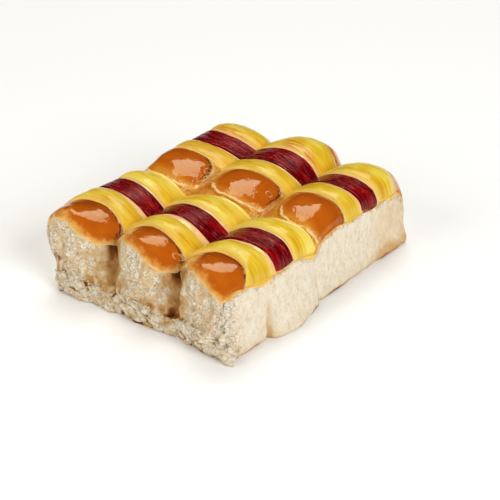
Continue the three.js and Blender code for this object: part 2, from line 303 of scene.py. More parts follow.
def right_shift(y, z):
    along = np.clip((y - SEAM_YS[0]) / (SEAM_YS[1] - SEAM_YS[0]), 0, 1)
    spread = SPREAD * np.clip(np.sin(math.pi * along**SPREAD_SKEW), 0, 1) ** SPREAD_FULLNESS
    low = np.clip(1 - z / SPREAD_HEIGHT, 0, 1) ** SPREAD_POWER
    rise = mix(REAR_INSET_AT_BASE, 1, smooth(z / REAR_INSET_RISE))
    inset = REAR_INSET * smooth((y - REAR_INSET_START) / REAR_INSET_EASE) * rise
    front_corner = RIGHT_CORNER_INSET * near_front(y) * smooth((z - RIGHT_CORNER_FOOT) / RIGHT_CORNER_EASE)
    rear_corner = REAR_CORNER_INSET * near_back(y) * smooth(z / REAR_CORNER_EASE)
    seams = SEAM_DEPTH * seam(y) * smooth((SEAM_TOP - z) / SEAM_EASE)
    smooth_shift = spread * low - inset - front_corner - rear_corner - seams
    return smooth_shift + RIGHT_CRAGS * crags(CRAG_PLACES["right"], y, z)


def left_shift(y, z):
    lean = smooth((LEFT_LEAN_TOP - z) / LEFT_LEAN_EASE)
    foot = LEFT_FOOT_INSET * lean + REAR_INSET * smooth((y - LEFT_INSET_START) / REAR_INSET_EASE)
    leaning = LEFT_CORNER_INSET - LEFT_FOOT_INSET - LEFT_CORNER_ROUNDING
    front_corner = (LEFT_CORNER_ROUNDING + leaning * lean) * near_front(y)
    rear_corner = REAR_CORNER_INSET * near_back(y) * smooth(z / REAR_CORNER_EASE)
    waist = LEFT_WAIST_INSET * np.exp(-(((y - LEFT_WAIST_Y) / LEFT_WAIST_WIDTH) ** 2))
    return foot + front_corner + rear_corner + waist + LEFT_CRAGS * crags(CRAG_PLACES["left"], y, z)


def place(column, row, share):
    """The dough's point at a column, a row and a share of the height: 0 at the base and 1 on the skin."""
    x = column_x(column)
    index, along, y = stripe_at(row)
    z = share * dough_height(x, row)
    s = np.minimum(1, np.abs(across_roll(x)))
    bow = mix(FRONT_BOWS[index], BOWS[index], along) * (1 - s * s)
    tuck = BASE_TUCK * np.clip(1 - z / BASE_TUCK_HEIGHT, 0, 1) ** 2

    def nearness(distance):
        return np.clip(1 - distance / TEAR_REACH, 0, 1) ** 2

    front, back = nearness(y - FRONT_Y), nearness(-FRONT_Y - y)
    left, right = nearness(x + HALF_WIDTH), nearness(HALF_WIDTH - x)
    wander = STRIPE_WANDER * (np.sin(x / 19 + y / 31) + 0.7 * np.sin(x / 11 - y / 23))
    reach = of_roll(REAR_REACH, x) * rearness(y) * mix(REAR_REACH_AT_BASE, 1, smooth(z / REAR_REACH_EASE))
    px = x + right * (right_shift(y, z) - tuck) + left * (left_shift(y, z) + tuck)
    py = y + front * (front_shift(x, z) + tuck) + back * (back_shift(x, z) - tuck)
    py = py + (1 - front) * (1 - back) * wander + bow + reach
    return np.stack([px, py, z], axis=-1)


# Rows of points up each side of the solid.
SOLID_LEVELS = 11


def frame_shift():
    """How far the dough's own numbers lie from the frame, by the middles of the two boxes."""
    counts = [np.arange(count + 1) for count in (COLUMNS, ROWS, SOLID_LEVELS)]
    column, row, level = np.meshgrid(*counts, indexing="ij")
    points = place(column.astype(float), row.astype(float), level / SOLID_LEVELS)
    own = (points.min(axis=(0, 1, 2)) + points.max(axis=(0, 1, 2))) / 2
    low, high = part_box("bread")
    middle = (low + high) / 2 / MM
    return np.array([middle.x - own[0], middle.y - own[1], 0])


SHIFT = frame_shift()


def grid_block(name, columns, rows, levels):
    """A closed box of quads, with whole numbers for its vertices' places, and its underside one face."""
    b = bmesh.new()
    bmesh.ops.create_cube(b, size=1)
    bmesh.ops.translate(b, verts=b.verts, vec=(0.5, 0.5, 0.5))
    bmesh.ops.scale(b, verts=b.verts, vec=(columns, rows, levels))
    for axis, count in enumerate((columns, rows, levels)):
        edges = [e for e in b.edges if abs(e.verts[0].co[axis] - e.verts[1].co[axis]) > 0.5]
        if count > 1:
            bmesh.ops.subdivide_edges(b, edges=edges, cuts=count - 1, use_grid_fill=True)
    mesh = bpy.data.meshes.new(name)
    b.to_mesh(mesh)
    b.free()
    return mesh


def merge_underside(mesh):
    b = bmesh.new()
    b.from_mesh(mesh)
    under = [f for f in b.faces if all(v.co.z < 0.5 for v in f.verts)]
    bmesh.ops.dissolve_faces(b, faces=under)
    b.to_mesh(mesh)
    b.free()


def read_points(mesh):
    co = np.zeros(len(mesh.vertices) * 3)
    mesh.vertices.foreach_get("co", co)
    return co.reshape(-1, 3)


def write_points(mesh, points):
    mesh.vertices.foreach_set("co", points.astype(np.float32).ravel())
    mesh.update()


def read_normals(mesh):
    normals = np.zeros(len(mesh.vertices) * 3, np.float32)
    mesh.vertex_normals.foreach_get("vector", normals)
    return normals.reshape(-1, 3)


def give_attribute(mesh, name, values):
    attribute = mesh.attributes.new(name, "FLOAT", "POINT")
    attribute.data.foreach_set("value", np.asarray(values, np.float32).ravel())


def to_frame(mesh, points):
    write_points(mesh, (points + SHIFT) * MM)
    mesh.polygons.foreach_set("use_smooth", np.ones(len(mesh.polygons), bool))


def add_piece(mesh, material, slot, *nodes):
    piece = bpy.data.objects.new(mesh.name, mesh)
    bpy.context.scene.collection.objects.link(piece)
    mesh.materials.append(material)
    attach(piece, "root")
    if nodes:
        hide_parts(*nodes)
    return piece


# Materials

def srgb(r, g, b):
    """A colour as seen on screen, 0 to 255, as Blender's linear RGBA."""
    linear = [c / 255 / 12.92 if c <= 10 else ((c / 255 + 0.055) / 1.055) ** 2.4 for c in (r, g, b)]
    return (*linear, 1)


class Nodes:
    """Short names for the shader nodes that this bread's materials use."""

    def __init__(self, name):
        self.material = bpy.data.materials.new(name)
        self.material.use_nodes = True
        self.tree = self.material.node_tree
        self.shader = self.tree.nodes["Principled BSDF"]

    def node(self, kind, inputs=(), **settings):
        made = self.tree.nodes.new(kind)
        for key, value in settings.items():
            setattr(made, key, value)
        for key, value in dict(inputs).items():
            self.feed(made.inputs[key], value)
        return made

    def feed(self, socket, value):
        if isinstance(value, bpy.types.NodeSocket):
            self.tree.links.new(value, socket)
        else:
            socket.default_value = value

    def attribute(self, name):
        return self.node("ShaderNodeAttribute", attribute_name=name).outputs["Fac"]

    def place(self, scale=(1, 1, 1), uv=None):
        """The place on the object, or on a band's own map, in millimetres times the scale."""
        if uv:
            source = self.node("ShaderNodeUVMap", uv_map=uv).outputs["UV"]
        else:
            source = self.node("ShaderNodeTexCoord").outputs["Object"]
            scale = [along / MM for along in scale]
        return self.node("ShaderNodeMapping", {"Vector": source, "Scale": scale}).outputs["Vector"]

    def noise(self, vector, scale, detail=2, roughness=0.5, distortion=0):
        inputs = {"Vector": vector, "Scale": scale, "Detail": detail, "Roughness": roughness}
        inputs["Distortion"] = distortion
        return self.node("ShaderNodeTexNoise", inputs).outputs["Fac"]

    def cells(self, vector, scale):
        return self.node("ShaderNodeTexVoronoi", {"Vector": vector, "Scale": scale}).outputs["Distance"]

    def math(self, operation, a, b=0):
        return self.node("ShaderNodeMath", {0: a, 1: b}, operation=operation).outputs[0]

    def plus(self, a, b):
        return self.math("ADD", a, b)

    def minus(self, a, b):
        return self.math("SUBTRACT", a, b)

    def times(self, a, b):
        return self.math("MULTIPLY", a, b)

    def swing(self, noise, reach):
        """A noise as a swing to both sides of 0."""
        return self.times(self.minus(noise, 0.5), reach)

    def line(self, distance, at, half, core):
        """1 on the core of a line that lies at a distance, falling to 0 at its half width."""
        return self.ramp(self.math("ABSOLUTE", self.minus(distance, at)), half, core)

    def ramp(self, value, low, high, to_low=0, to_high=1):
        inputs = {"Value": value, "From Min": low, "From Max": high, "To Min": to_low, "To Max": to_high}
        return self.node("ShaderNodeMapRange", inputs, interpolation_type="SMOOTHSTEP").outputs["Result"]

    def colours(self, value, stops):
        ramp = self.node("ShaderNodeValToRGB", {"Fac": value})
        elements = ramp.color_ramp.elements
        while len(elements) < len(stops):
            elements.new(0.5)
        for element, (at, colour) in zip(elements, stops):
            element.position = at
            element.color = colour
        return ramp.outputs["Color"]

    def blend(self, fac, a, b):
        made = self.node("ShaderNodeMix", data_type="RGBA")
        self.feed(made.inputs["Factor"], fac)
        self.feed(made.inputs["A"], a)
        self.feed(made.inputs["B"], b)
        return made.outputs["Result"]

    def bump(self, height, strength, distance):
        inputs = {"Height": height, "Strength": strength, "Distance": distance}
        return self.node("ShaderNodeBump", inputs).outputs["Normal"]

    def set(self, **inputs):
        for key, value in inputs.items():
            self.feed(self.shader.inputs[key.replace("_", " ")], value)
        return self.material


# Colours of the crumb by how far it is stained and darkened with painted shade, and of the crust by how far
# it is baked.
PALE_DOUGH = srgb(236, 190, 132)
CRUMB_STAIN_AND_SHADE = [
    (0.1, srgb(218, 192, 148)),
    (0.4, srgb(194, 152, 96)),
    (0.7, srgb(154, 98, 46)),
    (1.0, srgb(84, 42, 16)),
]
CRUST_SHADES = [
    (0.00, srgb(232, 196, 122)),
    (0.20, srgb(218, 170, 84)),
    (0.38, srgb(202, 140, 52)),
    (0.55, srgb(192, 114, 28)),
    (0.75, srgb(180, 88, 14)),
    (1.00, srgb(134, 54, 10)),
]
CRUMB_ROUGHNESS = 0.95
GLAZE_ROUGHNESS = 0.1
CRUMB_SCATTER = (1, 0.7, 0.4)
CRUMB_SCATTER_DEPTH = 2.5 * MM
TOPPING_SCATTER_DEPTH = 1.5 * MM


def crumb_finish(m, place_mm, stain_and_shade, openness):
    """Colour and height of torn crumb: warm white, soft and open, browner where it is stained, and darkened
    with painted shade in its pits, small gaps and shaded parts.
    """
    fine = m.noise(place_mm, 0.8, 3, 0.6)
    tufts = m.noise(m.place((0.3, 0.3, 0.14)), 1, 3, 0.55, 0.6)
    patches = m.noise(place_mm, 0.13, 4, 0.6)
    pores = m.ramp(m.plus(m.cells(place_mm, 0.4), m.swing(tufts, 2.2)), 0.55, 0)
    holes = m.ramp(m.noise(place_mm, 0.3, 3, 0.55, 0.6), 0.42, 0.32)
    pits = m.times(m.math("MAXIMUM", m.times(pores, 0.6), holes), openness)
    colour = m.colours(m.plus(m.times(fine, 0.45), m.times(tufts, 0.55)), [
        (0.27, srgb(194, 177, 146)),
        (0.45, srgb(219, 206, 184)),
        (0.60, srgb(228, 219, 203)),
    ])
    for fleck, shade in [
        (m.ramp(patches, 0.38, 0.6, 0.02, 0.42), srgb(212, 174, 118)),
        # Dark flecks: painted shade in the small gaps between the crumb's fibres.
        (m.ramp(fine, 0.47, 0.37, 0, 0.6), srgb(146, 122, 82)),
        (m.ramp(fine, 0.54, 0.64, 0, 0.8), srgb(248, 243, 232)),
    ]:
        colour = m.blend(m.times(openness, fleck), colour, shade)
    # Painted shade in the pits and holes, which the height also sinks.
    colour = m.blend(m.times(pits, 0.55), colour, srgb(158, 128, 80))
    patchiness = m.plus(0.25, m.times(openness, 0.5))
    stained_and_shaded = m.plus(m.plus(stain_and_shade, m.swing(patches, patchiness)), m.swing(fine, 0.3))
    colour = m.blend(m.ramp(stained_and_shaded, 0.04, 0.4), colour, m.colours(stained_and_shaded, CRUMB_STAIN_AND_SHADE))
    height = m.minus(m.plus(m.times(tufts, 1.1), m.times(fine, 0.8)), m.times(pits, 0.7))
    return colour, m.times(height, m.plus(0.4, m.times(openness, 0.15)))


def crust_finish(m, place_mm):
    """The glazed crust's colour and its raised glaze lines: brown ovals, dark along their rear, with amber
    round them, painted highlights on the glaze's pooled lines, rings and wrinkles, and painted shadow by
    them."""
    broad = m.noise(place_mm, 0.09, 3, 0.5)
    streaks = m.noise(m.place((0.1, 0.45, 0.1)), 1, 3, 0.55, 0.5)
    wobble = m.swing(m.noise(place_mm, 0.16, 3, 0.55), 1.6)
    uneven = m.plus(m.swing(broad, 0.3), m.swing(streaks, 0.25))

    oval, rearward = m.plus(m.attribute("oval"), wobble), m.attribute("rearward")
    sharp = m.times(m.ramp(oval, -0.4, 0.4), rearward)
    soft = m.times(m.ramp(oval, -3, 1), m.minus(1, rearward))
    around = m.colours(m.plus(m.attribute("halo"), m.times(uneven, 1.7)), CRUST_SHADES)
    brown = m.colours(m.plus(m.attribute("bake"), m.times(uneven, 0.6)), CRUST_SHADES)
    colour = m.blend(m.plus(sharp, soft), around, brown)
    # Dark line along the rear of each oval where the custard meets it: partly a darker baked edge, partly
    # painted shade.
    dark_edge_and_shade = m.times(m.line(oval, 0, 1.1, 0.4), rearward)
    colour = m.blend(m.times(dark_edge_and_shade, 0.85), colour, srgb(90, 34, 10))
    pale_line = m.times(m.line(oval, -1.5, 0.9, 0.3), rearward)
    colour = m.blend(m.times(pale_line, 0.4), colour, PALE_DOUGH)

    collar = m.plus(m.plus(m.attribute("collar"), wobble), m.swing(broad, 5))
    kept = m.ramp(broad, 0.4, 0.48)
    shadow = m.times(kept, m.line(collar, -4.4, 0.9, 0.3))
    colour = m.blend(m.times(shadow, 0.5), colour, srgb(150, 78, 18))
    # Painted highlights along the pooled glaze line, the bubble rings and the wrinkles; the same lines are
    # raised as ridges.
    pooled_highlight = m.times(kept, m.line(collar, -2.6, 1.1, 0.4))
    ring = m.line(m.plus(m.attribute("ring"), m.times(wobble, 0.6)), 0, 0.55, 0.1)
    ring = m.times(ring, m.ramp(streaks, 0.4, 0.56))
    wrinkle_glints = m.line(m.noise(m.place((0.14, 0.06, 0.1)), 1, 1, 0.5, 0.8), 0.5, 0.035, 0.01)
    beside_oval = m.times(m.attribute("wrinkle_glint_zones"), m.ramp(oval, 1.5, -0.5))
    wrinkle_glints = m.times(m.times(wrinkle_glints, 0.8), beside_oval)
    ridge_highlights = m.math("MAXIMUM", m.math("MAXIMUM", pooled_highlight, ring), wrinkle_glints)
    colour = m.blend(m.times(ridge_highlights, 0.65), colour, srgb(248, 220, 164))

    under_custard = m.times(m.attribute("yellow"), m.ramp(oval, -1.2, -2.6))
    colour = m.blend(under_custard, colour, srgb(230, 190, 52))
    colour = m.blend(m.attribute("red"), colour, srgb(110, 6, 14))
    return m.blend(m.ramp(m.attribute("strip"), 0.2, 1.2), colour, PALE_DOUGH), ridge_highlights


def bread_material():
    m = Nodes("bread")
    place_mm = m.place()
    ragged = m.plus(m.attribute("tear"), m.swing(m.noise(place_mm, 0.5, 4, 0.65), 2.6))
    crust = m.ramp(ragged, -0.25, 0.25)
    crust_colour, glaze_ridges_and_highlights = crust_finish(m, place_mm)
    fringe = m.plus(ragged, m.swing(m.noise(place_mm, 0.22, 3, 0.6), 9))
    crust_colour = m.blend(m.ramp(fringe, 0.5, 7, 0.8, 0), crust_colour, srgb(230, 178, 92))
    crust_colour = m.blend(m.ramp(ragged, 0, 2, 0.7, 0), crust_colour, srgb(228, 200, 140))
    crumb_colour, crumb_height = crumb_finish(m, place_mm, m.attribute("stain_and_shade"), m.attribute("openness"))
    underside = m.colours(m.noise(place_mm, 0.1, 5, 0.6), [
        (0.35, srgb(208, 160, 98)),
        (0.60, srgb(160, 100, 46)),
    ])
    crumb_colour = m.blend(m.ramp(m.attribute("height"), 0.9, 0.2), crumb_colour, underside)
    waves = m.noise(place_mm, 0.16, 2, 0.5)
    crust_height = m.plus(m.times(waves, 0.3), m.times(glaze_ridges_and_highlights, 0.4))
    height = m.plus(m.times(crumb_height, m.minus(1, crust)), m.times(crust_height, crust))
    return m.set(
        Base_Color=m.blend(crust, crumb_colour, crust_colour),
        Roughness=m.minus(CRUMB_ROUGHNESS, m.times(crust, CRUMB_ROUGHNESS - GLAZE_ROUGHNESS)),
        Specular_IOR_Level=0.42,
        Specular_Tint=(0.94, 1, 0.6, 1),
        Normal=m.bump(height, 0.85, 1.3 * MM),
        Subsurface_Weight=0.15,
        Subsurface_Radius=CRUMB_SCATTER,
        Subsurface_Scale=CRUMB_SCATTER_DEPTH,
    )


def shred_material():
    m = Nodes("torn_crumb")
    colour, height = crumb_finish(m, m.place(), m.attribute("stain_and_shade"), 0.5)
    return m.set(
        Base_Color=colour,
        Roughness=CRUMB_ROUGHNESS,
        Normal=m.bump(height, 0.7, 0.8 * MM),
        Subsurface_Weight=0.25,
        Subsurface_Radius=CRUMB_SCATTER,
        Subsurface_Scale=CRUMB_SCATTER_DEPTH,
    )


def custard_material():
    """Streaked along the band, paler near its rims, browner in the creases and where it is scorched, with a
    painted highlight along one band's rear.
    """
    m = Nodes("custard")
    rim = m.attribute("rim")
    streaks = m.noise(m.place((0.045, 0.45, 1), uv="band"), 1, 3, 0.5, 0.4)
    broad = m.noise(m.place((0.05, 0.09, 1), uv="band"), 1, 2, 0.5)
    colour = m.colours(m.plus(m.times(streaks, 0.5), m.times(broad, 0.5)), [
        (0.36, srgb(202, 150, 22)),
        (0.50, srgb(220, 187, 48)),
        (0.64, srgb(226, 210, 98)),
    ])
    near_rim = m.ramp(m.plus(rim, m.swing(streaks, 3)), 4, 1, 0, 0.4)
    scorch = m.times(m.attribute("scorch"), m.ramp(streaks, 0.42, 0.56))
    colour = m.blend(near_rim, colour, srgb(234, 212, 116))
    colour = m.blend(m.attribute("dull"), colour, srgb(196, 142, 44))
    # Painted highlight along the rear of one custard band.
    colour = m.blend(m.times(m.attribute("painted_highlight"), 0.6), colour, srgb(244, 222, 104))
    colour = m.blend(m.times(m.attribute("crease"), 0.55), colour, srgb(220, 160, 30))
    colour = m.blend(m.times(scorch, 0.85), colour, srgb(196, 112, 30))
    return m.set(
        Base_Color=m.blend(m.ramp(rim, 0.7, 0.1), colour, srgb(236, 202, 124)),
        Roughness=0.2,
        Specular_IOR_Level=0.23,
        Normal=m.bump(m.plus(m.times(broad, 1.2), m.times(streaks, 0.45)), 0.4, 1.2 * MM),
        Subsurface_Weight=0.1,
        Subsurface_Radius=(1, 0.8, 0.3),
        Subsurface_Scale=TOPPING_SCATTER_DEPTH,
    )


def jam_material():
    """Dark red, streaked along the band, with small pale glints where its wrinkles catch the light."""
    m = Nodes("jam")
    streaks = m.noise(m.place((0.05, 0.7, 1), uv="band"), 1, 4, 0.6, 0.4)
    broad = m.noise(m.place((0.03, 0.2, 1), uv="band"), 1, 3, 0.5)
    glints = m.noise(m.place((0.13, 1.3, 1), uv="band"), 1, 3, 0.6, 0.8)
    colour = m.colours(m.plus(m.times(streaks, 0.55), m.times(broad, 0.45)), [
        (0.38, srgb(66, 0, 6)),
        (0.50, srgb(102, 3, 9)),
        (0.61, srgb(152, 18, 22)),
    ])
    colour = m.blend(m.ramp(m.attribute("rim"), 1.3, 0.2, 0, 0.6), colour, srgb(84, 3, 8))
    return m.set(
        Base_Color=m.blend(m.ramp(glints, 0.59, 0.67, 0, 0.6), colour, srgb(204, 100, 98)),
        Roughness=GLAZE_ROUGHNESS,
        Specular_IOR_Level=0.11,
        Normal=m.bump(m.plus(m.times(streaks, 0.8), m.times(broad, 1.4)), 0.5, 1.3 * MM),
        Subsurface_Weight=0.05,
        Subsurface_Radius=(1, 0.15, 0.1),
        Subsurface_Scale=TOPPING_SCATTER_DEPTH,
    )


def floor_material():
    m = Nodes("floor")
    return m.set(Base_Color=srgb(248, 249, 252), Roughness=0.9)


# Zones along Y: the front domes, the rear ones and the crust at the back, and where the front's tear ends.
FRONT_DOMES_END = -60
REAR_DOMES_END = 28
BACK_CRUST_START = 80
FRONT_TEAR_END = -80

# What stands for a distance where there is nothing near, in millimetres inside or outside an edge.
FAR_INSIDE = 30
FAR_OUTSIDE = -50

# Browned ovals on the domes: middle X and Y, then how far each reaches left, right, forward and back.
OVALS = [
    (-58, -94, 31, 27, 20, 17),
    (4, -96, 30, 25, 20, 15.5),
    (66, -97, 30, 30, 20, 16.5),
    (-60, 11, 25, 28, 17, 18),
    (8, 13, 22, 22, 16, 18),
    (70, 13, 21, 24, 18, 18),
]
OVAL_POWER = 2.5
OVAL_TO_CUSTARD = 1.3


def inside_ovals(x, y):
    """How far inside the nearest browned oval a point lies, in millimetres, below 0 outside."""
    best = np.full_like(x, FAR_OUTSIDE)
    for middle_x, middle_y, left, right, forward, back in OVALS:
        across = (x - middle_x) / np.where(x < middle_x, left, right)
        along = (y - middle_y) / np.where(y < middle_y, forward, back)
        away = (np.abs(across) ** OVAL_POWER + np.abs(along) ** OVAL_POWER) ** (1 / OVAL_POWER)
        best = np.maximum(best, (1 - away) * min(left, right, forward, back))
    rim = np.where(y < FRONT_DOMES_END, STRIPE_YS[1] + front_rim(x, 1), STRIPE_YS[7] + front_rim(x, 7))
    return np.minimum(best, rim - OVAL_TO_CUSTARD - y)


# Bread: one closed grid of the dough, then torn relief and the values that its material reads.
BREAD_COLUMNS = 186
BREAD_ROWS = 222
BREAD_LEVELS = 52

# The crust's torn edge: its heights across each roll at the front, how far it hangs down at the back, and
# how far in front of the last stripe's end the back begins.
TEAR_ACROSS = (-1, -0.8, -0.6, -0.2, 0.1, 0.4, 0.7, 1)
TEAR_HEIGHTS = (44, 50, 56, 56, 53, 48, 43.5, 43)
BACK_CRUST = 5
BACK_DEPTH = 8

# How far the crust's torn edge hangs down the right side, from front to back.
HANG_YS = (-104, -92, -82, -72, -60, -50, -32, -20, -6, 4, 12, 24, 40, 70, 88, 104)
HANGS = (9, 5, 1.5, 4, 3.5, 1, 1, 4, 6, 3, 6, 2, 1, 1.5, 4, 5)


def torn_edge(points, skin):
    """How far a point lies inside the crust's torn edge: above 0 on crust, below 0 on crumb."""
    x, y, z = points.T
    s = across_roll(x)
    hang = np.interp(y, HANG_YS, HANGS) - 0.5 + 1.6 * layered(x, y, z, 6, 2)
    below = z - skin
    side = np.where(below > -0.01, HALF_WIDTH - np.abs(x), below) + hang
    front = z - np.interp(s, TEAR_ACROSS, TEAR_HEIGHTS) + 1.5 * layered(x, y, z, 7, 2)
    front = np.where(y < FRONT_TEAR_END, front, FAR_INSIDE)
    back = np.where(y > BACK_CRUST_START, z - skin + BACK_CRUST + 2 * layered(x, y, z, 9, 2), FAR_INSIDE)
    on_back = y > -FRONT_Y - BACK_DEPTH + of_roll(REAR_REACH, x)
    return np.minimum(np.where(on_back, back, side), front)


def baked(x, y):
    """How brown the crust is inside an oval: darkest along its rear, amber towards the front."""
    s = across_roll(x)
    front_dome = 0.74 + 0.04 * smooth((y + 100) / 10) + 0.1 * smooth((y + 90) / 8)
    front_dome = front_dome + 0.05 * smooth((0.2 - s) / 0.6)
    rear_dome = 0.46 + 0.3 * smooth((y + 6) / 9) + 0.05 * smooth((y - 10) / 12)
    return np.where(y < FRONT_DOMES_END, front_dome, np.where(y > BACK_CRUST_START, 0.6, rear_dome))


def halo(x, y):
    """How brown the crust is outside the ovals: amber beside them and pale in front of the rear ones."""
    s = across_roll(x)
    front_dome = 0.46 - 0.1 * smooth((s - 0.6) / 0.3)
    beside = mix(0.5, 0.36, smooth(s + 0.5))
    rear_dome = mix(0.36, beside, smooth((y + 9) / 4))
    rear_dome = rear_dome - 0.15 * smooth((y - 25) / 3)
    return np.where(y < FRONT_DOMES_END, front_dome, np.where(y > BACK_CRUST_START, 0.55, rear_dome))


def rearward(x, y):
    """0 along the front and the left of an oval and 1 along its rear and right."""
    on_rear_dome = smooth((y - 12 + 8 * across_roll(x)) / 8)
    return np.where(y < FRONT_DOMES_END, smooth((y + 101) / 6), on_rear_dome)


def collar(x, y):
    """How far inside a rear oval's rim a point lies, along its front only, where pooled glaze lines get
    painted highlights.
    """
    near_front_rim = inside_ovals(x, y) + FAR_INSIDE * smooth((y - 3) / 6)
    return np.where(np.abs(y) < REAR_DOMES_END, near_front_rim, FAR_INSIDE)


# How far the strips of bare dough reach below the bands beside them, and the height where the ledge's
# crumb gives way to the wall's.
STRIP_MARGIN = 1.2
LEDGE_CREST = 22

# Rings left by bubbles in the glaze, drawn as painted highlights: middle X and Y, and radius.
RINGS = [(-33, 17, 3.2), (-30, 11.5, 2.1), (-37, 8, 1.6), (26, -92, 3), (24.5, 15, 2.2)]


def ring(x, y):
    """Distance outwards from the nearest ring."""
    best = np.full_like(x, FAR_INSIDE)
    for middle_x, middle_y, radius in RINGS:
        away = np.hypot(x - middle_x, y - middle_y) - radius
        best = np.where(np.abs(away) < np.abs(best), away, best)
    return best


def wrinkle_glint_zones(x, y):
    """Where the glaze has pooled and wrinkled, and the wrinkles get painted highlights: on the flanks beside
    the creases, and before rear domes.
    """
    s = across_roll(x)
    on_front_dome = y < FRONT_DOMES_END
    flanks = 0.6 * (smooth((np.abs(s) - 0.5) / 0.3) * np.where(on_front_dome, s > 0, 1))
    before = 0.15 * smooth((1 - y) / 5)
    return np.where(on_front_dome, flanks, np.maximum(flanks, before))


def stripe_tint(x, y, kind):
    """1 well inside the stripes of one kind, 0 outside them."""
    inside = np.zeros_like(y)
    for stripe, own in enumerate(KINDS):
        if own == kind:
            front = STRIPE_YS[stripe] + (front_rim(x, stripe) if KINDS[stripe - 1] == "dough" else 0)
            rear = STRIPE_YS[stripe + 1] + (rear_rim(x, stripe) if KINDS[stripe + 1] == "dough" else 0)
            inside = np.maximum(inside, smooth((y - front + 0.3) / 1.2) * smooth((rear + 0.3 - y) / 1.2))
    return inside


def strip_of(x, y):
    """How far inside one of the narrow strips of bare dough a point lies, in millimetres."""
    best = np.full_like(y, FAR_OUTSIDE)
    for stripe, kind in enumerate(KINDS):
        if kind == "dough":
            front = STRIPE_YS[stripe] + rear_rim(x, stripe - 1)
            rear = STRIPE_YS[stripe + 1] + front_rim(x, stripe + 1)
            best = np.maximum(best, (rear - front) / 2 + STRIP_MARGIN - np.abs(y - (front + rear) / 2))
    return best


def on_ledge(z):
    return smooth((LEDGE_CREST - z) / 8)


def stained_and_shaded(points):
    """How far the crumb is browned, and darkened with painted shade: on the front, at the rear and low down.
    """
    x, y, z = points.T
    s = across_roll(x)
    front = smooth((-80 - y) / 16) * smooth((79 - x) / 8)
    ledge = on_ledge(z) * front
    wander = layered(x, y + 40, z, 7, 3)
    # In the front's notches: partly browned crumb, partly painted shade.
    notches = smooth(creaseness(x, 3) + 0.35 * wander) * smooth((z - 4) / 12) * smooth((-66 - y) / 16) * 0.34
    flanks = (0.1 + 0.1 * smooth((s + 0.1) / 0.7) + 0.14 * wander) * (front - 0.5 * ledge)
    # Painted shade on the left flanks of the middle and right rolls' fronts.
    flanks += 0.17 * smooth((-0.3 - s) / 0.45) * (x > -HALF_ROLL) * front * smooth((z - 12) / 8)
    # Under the crust at the top of the notches: partly crust tucked in, partly painted shade.
    recesses = smooth((creaseness(x, 4) + 0.3 * wander - 0.45) / 0.3)
    recesses = recesses * smooth((z + 8 * wander - 31) / 9) * smooth((-70 - y) / 10)
    # Painted shade along the seam crevice on the right side.
    seams = 0.25 * np.exp(-(((y - SEAM_YS[0]) / 2) ** 2)) * smooth((38 - z) / 10) * smooth((x - 60) / 10)
    # Painted shade in the hollows of the ledge.
    hollows = 0.6 * smooth((0.2 - crumb_relief(points)) / 2.4) * ledge
    # Darker towards the bottom: partly browned base crust, partly painted shade near the floor.
    low = (0.14 + 0.08 * front) * smooth((14 - z) / 8)
    low = low + smooth((4 - z) / 3) * np.clip(0.3 + 0.8 * layered(x, y, z, 13, 2), 0, 1)
    rear = 0.2 * smooth((y - 50) / 25)
    return np.clip(notches + flanks + recesses + seams + hollows + low + rear, 0, 1)


def crumb_relief(points):
    """Relief of torn crumb in millimetres: soft lumps, ridges and tufts, deeper on the torn front."""
    x, y, z = points.T
    front = smooth((-86 - y) / 12)
    ledge = front * on_ledge(z)
    lumps = layered(x, y, z, 7, 2) + 0.8 * layered(x, y + 20, z * 0.6, 15, 2)
    ridges = 1 - 2 * np.abs(layered(x + 50, y, z, 6, 2))
    tufts = layered(x, y, z + 30, 3.2, 2)
    relief = lumps * (0.8 + front + 0.7 * ledge)
    relief += ridges * mix(0.25, 1.1, front)
    relief += tufts * mix(0.3, 1.5, front)
    return relief - mix(0.3, 1.1, front)


# Swells of the front domes, over which their tops stay level nearly up to the torn edge: middle X and Y,
# half width, half length and height.
SWELLS_IN_FRONT = [
    (-58, -101, 22, 6, 2.5),
    (4, -100, 22, 5.5, 1.7),
    (66, -101, 22, 6, 2.4),
    (-70, -96, 10, 8, 1.8),
    (57, -96, 10, 8, 0.7),
]


def swelling(x, y, share):
    total = 0
    for middle_x, middle_y, half_width, half_length, high in SWELLS_IN_FRONT:
        across, along = (x - middle_x) / half_width, (y - middle_y) / half_length
        total = total + high * np.exp(-(across**2) - along**2)
    return total * share**4 * smooth((-81 - y) / 4)


# Values that the bread's material reads, worked out from where a point lies before the dough is bent.
TOP_VALUES = {
    "oval": inside_ovals,
    "bake": baked,
    "halo": halo,
    "rearward": rearward,
    "collar": collar,
    "ring": ring,
    "wrinkle_glint_zones": wrinkle_glint_zones,
    "strip": strip_of,
}


